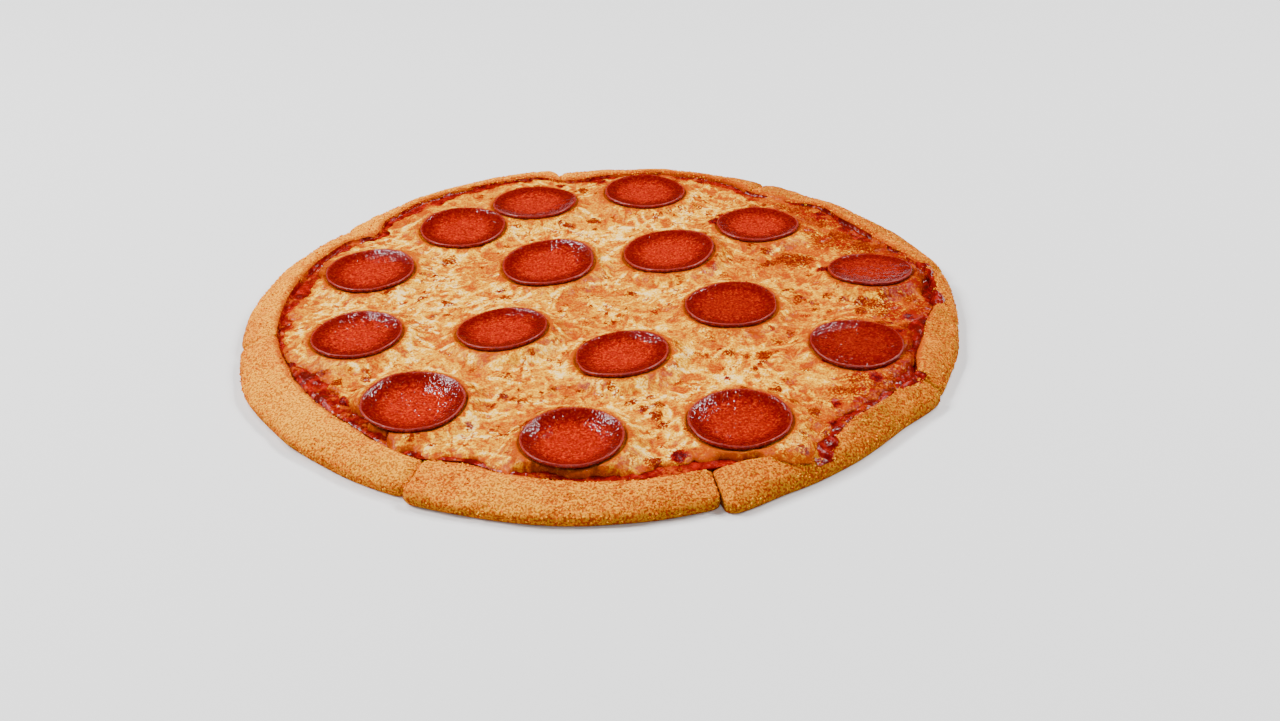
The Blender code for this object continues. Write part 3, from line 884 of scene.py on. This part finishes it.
def lay_flecks(canvas, random):
    """Small toasted spots, more of them at the right."""
    for number in range(FLECKS):
        x, y = random.uniform(-FLECK_REACH, FLECK_REACH, 2)
        chance = 0.36 + 0.42 * ease((x + 10.0) / 80.0) + 0.4 * patch_at(x, y, 22.0, 13)
        if random.uniform() > chance:
            continue
        spot, cover = canvas.blot(x, y, random.uniform(*FLECK_RADII), 500 + number, 0.7)
        canvas.raise_to("toast", spot, cover * random.uniform(*FLECK_STRENGTHS))


def lay_spots(canvas):
    """The spots that stand out, each where it lies."""
    for field, table, grown in SPOTS:
        for number, (x, y, radius) in enumerate(table):
            spot, cover = canvas.blot(x, y, grown * radius, 900 + number)
            canvas.raise_to(field, spot, cover)
    for number, (x, y, radius) in enumerate(PALE):
        spot, cover = canvas.blot(x, y, PALE_GROWTH * radius, 1200 + number, 0.8)
        canvas.fields["kind"][spot] *= 1.0 - cover * 0.75
        canvas.fields["rust"][spot] *= 1.0 - cover * 0.6


def soften(field, passes):
    """A raster smoothed a little, by averaging each cell with its neighbours."""
    for _ in range(passes):
        field = 0.25 * (2 * field + np.roll(field, 1, 0) + np.roll(field, -1, 0))
        field = 0.25 * (2 * field + np.roll(field, 1, 1) + np.roll(field, -1, 1))
    return field


def paint_cheese():
    """The canvas with all that is laid on it."""
    canvas = Canvas()
    random = np.random.default_rng(3)
    lay_strands(canvas, random)
    lay_streaks(canvas, random)
    lay_flecks(canvas, random)
    lay_spots(canvas)
    canvas.fields["level"] = soften(canvas.fields["level"], 3)
    return canvas


def disc_grid(rings):
    """A square grid bent into a disc: ring number from 0 to rings, and angle, of each point."""
    line = np.arange(-rings, rings + 1) / rings
    a, b = np.meshgrid(line, line)
    wide = np.abs(a) > np.abs(b)
    with np.errstate(divide="ignore", invalid="ignore"):
        turn = np.where(wide, 0.25 * math.pi * b / a, 0.5 * math.pi - 0.25 * math.pi * a / b)
    turn = np.where(wide & (a < 0), turn + math.pi, turn)
    turn = np.where(~wide & (b < 0), turn + math.pi, turn)
    turn = np.nan_to_num(turn)
    return (np.maximum(np.abs(a), np.abs(b)) * rings).ravel(), turn.ravel()


def cheese_surface(canvas, x, y, inside):
    """Height of the cheese's top: strands and mounds, risen or sunk to meet the pepperoni."""
    level = canvas.sample("level", x, y)
    top = CHEESE_TOP - MOUND_HEIGHT + MOUND_HEIGHT * cloud(x, y, 14.0, 21, 3) + (level - 0.5)
    top += CRUMB_HEIGHT * cloud(x, y, 1.6, 25, 2)
    top += SPOT_HEIGHT * canvas.sample("toast", x, y) - SPOT_HEIGHT * canvas.sample("bare", x, y)
    top += BURN_HEIGHT * canvas.sample("burn", x, y)
    thinning = EDGE_SHARE + (1.0 - EDGE_SHARE) * np.sqrt(np.clip(inside / EDGE_WIDTH, 0.0, 1.0))
    top = CHEESE_BOTTOM + THINNEST_CHEESE + (top - CHEESE_BOTTOM - THINNEST_CHEESE) * thinning
    for number, spec in enumerate(PEPPERONI, start=1):
        close = np.hypot(x - spec.x, y - spec.y) < spec.radius + 12.0
        under, distance = pepperoni_under(spec, number, x[close], y[close])
        past = distance - spec.radius
        limit = under - 0.12 + ease((past + 1.0) / 4.0) * 2.0
        bed = under - 0.15 - 0.12 * spec.cup + 0.8 * (level[close] - 0.5) * ease((past + 0.5) / 2.0)
        bed += (0.55 + 0.12 * spec.cup) * ease((past + 0.2) / 0.9)
        hold = 1.0 - ease((past - 0.5) / 9.0)
        raised = top[close] + np.maximum(bed - top[close], 0.0) * hold
        top[close] = np.minimum(raised, limit)
    return top


def cheese_marks(canvas, x, y, inside):
    """The canvas's marks at places, with what the pepperoni, the edge and the oven's heat add; round the
    pepperoni that is partly painted contact shade.
    """
    marks = {name: canvas.sample(name, x, y) for name in ("kind", "rust", "toast", "bare", "burn")}
    # A ring round each pepperoni where the cheese turns more orange and rusty: partly fat run out of the
    # meat, partly painted shade where its edge meets the cheese.
    halo = np.zeros_like(x)
    for spec in PEPPERONI:
        distance = np.hypot(x - spec.x, y - spec.y) - spec.radius
        halo = np.maximum(halo, np.exp(-((distance - 0.2) / 1.8) ** 2))
    baked = 0.18 * ease((x - 10.0) / 90.0) + 0.06 * cloud(x, y, 30.0, 77, 2)
    near = np.exp(-np.clip(inside, 0.0, 30.0) / 1.8)
    hottest = ease((x - 62.0) / 40.0) * ease((34.0 - inside) / 24.0)
    kind = np.clip(marks["kind"] + baked + 0.50 * halo, 0.0, 1.0)
    kind = np.clip(kind + 0.35 * near + 0.25 * np.sqrt(near), 0.0, 1.0)
    marks["kind"] = np.clip(kind + 0.24 * hottest, 0.0, 1.0)
    for name, values in (
        ("rust", 0.75 * near * ease(0.7 + cloud(x, y, 5.0, 33, 2))),
        # Rust in the ring round each pepperoni: fat and painted contact shade.
        ("rust", 0.9 * halo),
        ("rust", 0.7 * hottest * ease(0.55 + 0.9 * cloud(x, y, 7.0, 46, 3))),
        ("toast", 0.9 * hottest * np.clip(0.56 + 0.8 * cloud(x, y, 5.5, 44, 3), 0.0, 1.0)),
        ("bare", hottest * np.clip(0.28 + 0.8 * cloud(x, y, 6.5, 45, 3), 0.0, 1.0)),
    ):
        marks[name] = np.maximum(marks[name], values)
    return marks


def make_cheese(canvas, material):
    """The melted sheet, with a rounded lip, a ragged edge and the tongue over the crust."""
    rings, turn = disc_grid(CHEESE_RINGS)
    angle = np.degrees(turn)
    edge = cheese_radius(angle)
    lip = np.arange(len(LIP_OUT))
    last = CHEESE_RINGS - lip[-1]
    past = np.clip(rings - last, 0, lip[-1])
    radius = np.where(rings <= last, (edge + LIP_OUT[0]) * rings / last, edge + np.interp(past, lip, LIP_OUT))
    x, y = radius * np.cos(turn), radius * np.sin(turn)
    inside = edge - radius
    top = cheese_surface(canvas, x, y, inside)
    over_rim = radius > around(SAUCE_EDGE, angle) - 0.2
    ground = np.where(over_rim, crust_top(radius, angle) - 0.35, 0.0)
    bottom = np.maximum(CHEESE_BOTTOM - 0.1, ground)
    tongue = np.exp(-((angle % 360.0 - TONGUE_ANGLE) / 7.0) ** 2) * ease(inside / 3.0)
    top = np.maximum(top, bottom + 0.9 + tongue)
    z = top + (bottom - top) * np.interp(past, lip, LIP_DOWN)
    side = 2 * CHEESE_RINGS + 1
    points = np.stack((x, y, z), axis=1)
    marks = cheese_marks(canvas, x, y, inside)
    piece = add_piece("melted_cheese", points, grid_faces(side, side), material, marks)
    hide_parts("cheese")


def make_sauce(material):
    """The sheet of sauce, with lumps where it shows between the cheese and the rim."""
    turn = np.linspace(0.0, 2.0 * math.pi, SAUCE_SPOKES, endpoint=False)
    angle = np.degrees(turn)
    edge = around(SAUCE_EDGE, angle)
    bed = edge - np.maximum(around(SAUCE_BAND, angle), 2.0) - 6.0
    shares = np.concatenate((np.linspace(0.02, 1.0, 6), 1.0 + np.linspace(0.05, 1.0, 22)))[:, None]
    radius = np.where(shares <= 1.0, bed * shares, bed + (edge + 0.5 - bed) * (shares - 1.0))
    x, y = radius * np.cos(turn), radius * np.sin(turn)
    open_share = ease((shares - 1.15) / 0.35)
    lumps = 0.75 + 0.5 * cloud(x, y, 6.0, 51, 2) + 0.22 * cloud(x, y, 2.2, 52, 2)
    z = SAUCE_TOP + open_share * np.clip(lumps, -0.2, 1.4)
    climb = ease((shares - 1.85) / 0.15)
    z = z + (crust_top(radius, angle) - 0.1 - z) * climb * 0.8
    scorch = np.zeros_like(x)
    for number, (spot_x, spot_y, size) in enumerate(SCORCHED):
        away = np.hypot(x - spot_x, y - spot_y) / size + 0.5 * cloud(x, y, 2.5, 70 + number, 2)
        scorch = np.maximum(scorch, ease(1.5 - away))
    z += 0.4 * scorch * open_share
    oven_dark = ease((x - 20.0) / 70.0) * np.clip(0.45 + 0.6 * cloud(x, y, 5.0, 58, 2), 0.0, 1.0)
    scorch = np.maximum(scorch, oven_dark)
    film = np.clip(0.22 + 0.6 * cloud(x, y, 7.0, 57, 3), 0.0, 1.0) * (1.0 - scorch)
    points = np.stack((x, y, z), axis=-1)
    faces = grid_faces(len(shares), SAUCE_SPOKES, wrap=True)
    faces.append(list(reversed(range(SAUCE_SPOKES))))
    marks = {"scorch": scorch, "film": film}
    piece = add_piece("sauce_sheet", points, faces, material, marks)
    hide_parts("sauce")


def make_stains(material):
    """Thin sauce that has run over the crust: patches that dip into it round their edges."""
    points, faces, scorch = [], [], []
    for number, (angle, radius, wide, deep, thick) in enumerate(STAINS):
        columns = max(STAIN_ROWS, int(wide * 5))
        across = np.linspace(-1.5, 1.5, STAIN_ROWS)[:, None]
        along = np.linspace(-1.5, 1.5, columns)
        angles = angle + np.degrees(along * wide / radius)
        radii = radius + across * deep
        x, y = radii * np.cos(np.radians(angles)), radii * np.sin(np.radians(angles))
        shape = 1.1 - np.hypot(along, across) + 0.30 * cloud(x, y, 6.0, 600 + number, 2)
        lumps = 1.0 + 0.6 * cloud(x, y, 2.0, 620 + number, 2)
        z = crust_top(radii, angles) - 0.8 + ease(shape / 0.5) * (0.8 + thick * 0.6 * lumps)
        faces += grid_faces(STAIN_ROWS, columns, first=sum(len(block) for block in points))
        points.append(np.stack((x, y, z), axis=-1).reshape(-1, 3))
        scorch.append(np.clip(0.50 + 0.5 * cloud(x, y, 4.0, 640 + number, 2), 0.0, 1.0).ravel())
    scorch = np.concatenate(scorch)
    marks = {"scorch": scorch, "film": np.zeros_like(scorch)}
    add_piece("sauce_on_crust", np.concatenate(points), faces, material, marks)


def pepperoni_section(spec):
    """Section of a slice from the middle of its underside round the lip to its middle above."""
    thick, radius = PEPPERONI_THICKNESS, spec.radius
    under = [(share * radius, cup_lift(share * radius, spec)) for share in PEPPERONI_UNDER]
    middle = cup_lift(radius, spec) + 0.5 * thick
    lip = []
    for step in range(PEPPERONI_LIP):
        turn = -0.5 * math.pi + math.pi * step / (PEPPERONI_LIP - 1)
        out = 0.965 * radius + 0.035 * radius * math.cos(turn)
        lip.append((out, middle - 0.1 + 0.48 * thick * math.sin(turn)))
    shares = np.append(np.linspace(PEPPERONI_UNDER[-1], 0.1, PEPPERONI_OVER), PEPPERONI_UNDER[0])
    over = [(share * radius, thick - 0.12 + cup_lift(share * radius, spec)) for share in shares]
    return np.array(under + lip + over)


def make_pepperoni(number, spec, material):
    """One cupped slice, rippled, sagging and tilted as it lies."""
    section = pepperoni_section(spec)
    rows = len(section)
    turn = np.linspace(0.0, 2.0 * math.pi, PEPPERONI_SPOKES, endpoint=False)[None, :]
    rho = section[:, :1]
    share = rho / spec.radius
    outline = 0.986 + 0.018 * cloud(np.cos(turn) * 9.0 + 50.0 * number, np.sin(turn) * 9.0, 6.0, 81, 4)
    x, y = rho * np.cos(turn) * outline, rho * np.sin(turn) * outline
    z = section[:, 1:] + ripple(turn, share, number) - sag_depth(spec, x, y)
    first_above = len(PEPPERONI_UNDER) + PEPPERONI_LIP
    row = np.arange(rows)[:, None]
    above = row >= first_above
    uneven = 0.16 * cloud(x + 60.0 * number, y, 3.0, 91, 3) - 0.06
    z = z + uneven * above * ease((0.98 - share) / 0.1)
    to_left = Matrix.Rotation(math.radians(-spec.left), 3, "Y")
    lean = to_left @ Matrix.Rotation(math.radians(spec.forward), 3, "X")
    points = np.stack((x, y, z), axis=-1) @ np.array(lean).T + np.array((spec.x, spec.y, seat_height(spec)))
    blur = 0.05 * cloud(x + 70.0 * number, y, 5.0, 95, 2)
    # Darker toward the rim on top, partly browned meat and partly painted shade on the walls of the cup; by a
    # fixed share below the lip.
    edge = np.where(above, 0.75 * ease((share + blur - 0.54) / 0.30), 0.30)
    marks = {
        "oil": 0.8 * ease((0.72 - share + 2.0 * blur) / 0.4) * above,
        "edge": np.maximum(edge, DARKER_SLICES.get(number, 0.0)),
        "lip": np.exp(-((row - (first_above - 2.0)) / 1.3) ** 2) * (0.7 + 4.0 * blur),
    }
    faces = grid_faces(rows, PEPPERONI_SPOKES, wrap=True)
    faces.append(list(reversed(range(PEPPERONI_SPOKES))))
    faces.append([(rows - 1) * PEPPERONI_SPOKES + spoke for spoke in range(PEPPERONI_SPOKES)])
    name = f"pepperoni_slice_{number:02d}"
    piece = add_piece(name, points, faces, material, marks)
    face_outward(piece)
    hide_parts(f"pepperoni_{number:02d}")


def make_floor():
    mesh = bpy.data.meshes.new("floor")
    shape = bmesh.new()
    bmesh.ops.create_grid(shape, x_segments=1, y_segments=1, size=FLOOR_REACH)
    shape.to_mesh(mesh)
    shape.free()
    floor = bpy.data.objects.new("floor", mesh)
    bpy.context.scene.collection.objects.link(floor)
    floor.location = (0.0, 0.0, -FLOOR_DROP)
    mesh.materials.append(Paint("pale floor", 0.6).finish(FLOOR_COLOUR))


def light_scene():
    """The lamps, each turned to the pizza's middle, in a faintly lit studio."""
    for name, place, size, power in LAMPS:
        light = bpy.data.lights.new(name, "AREA")
        light.shape = "RECTANGLE"
        light.size, light.size_y = size
        light.energy = power
        lamp = bpy.data.objects.new(name, light)
        lamp.location = place
        lamp.rotation_euler = (Vector() - Vector(place)).to_track_quat("-Z", "Y").to_euler()
        bpy.context.scene.collection.objects.link(lamp)
    world = bpy.data.worlds.new("studio")
    world.use_nodes = True
    background = world.node_tree.nodes["Background"]
    background.inputs["Color"].default_value = (1.0, 1.0, 1.0, 1.0)
    background.inputs["Strength"].default_value = WORLD_STRENGTH
    bpy.context.scene.world = world


def add_camera():
    """The camera at the photograph's place, with its yaw, pitch and roll."""
    pitch, yaw, roll = (math.radians(value) for value in (CAMERA_PITCH, CAMERA_YAW, CAMERA_ROLL))
    level = Matrix.Rotation(-yaw, 4, "Z") @ Matrix.Rotation(0.5 * math.pi - pitch, 4, "X")
    place = Matrix.Translation((0.0, -CAMERA_BACK * MM, CAMERA_HEIGHT * MM))
    camera = bpy.data.cameras.new("camera")
    camera.sensor_width = SENSOR_WIDTH
    camera.sensor_fit = "HORIZONTAL"
    camera.lens = CAMERA_LENS
    camera.clip_start = 0.01
    holder = bpy.data.objects.new("camera", camera)
    holder.matrix_world = place @ level @ Matrix.Rotation(roll, 4, "Z")
    bpy.context.scene.collection.objects.link(holder)
    bpy.context.scene.camera = holder


def main():
    add_camera()
    light_scene()
    make_floor()
    crust = crust_material()
    for index in range(len(SLICE_RADII)):
        make_crust_slice(index, crust)
    make_grains(grain_material())
    sauce = sauce_material()
    make_sauce(sauce)
    make_stains(sauce)
    make_cheese(paint_cheese(), cheese_material())
    pepperoni = pepperoni_material()
    for number, spec in enumerate(PEPPERONI, start=1):
        make_pepperoni(number, spec, pepperoni)


main()
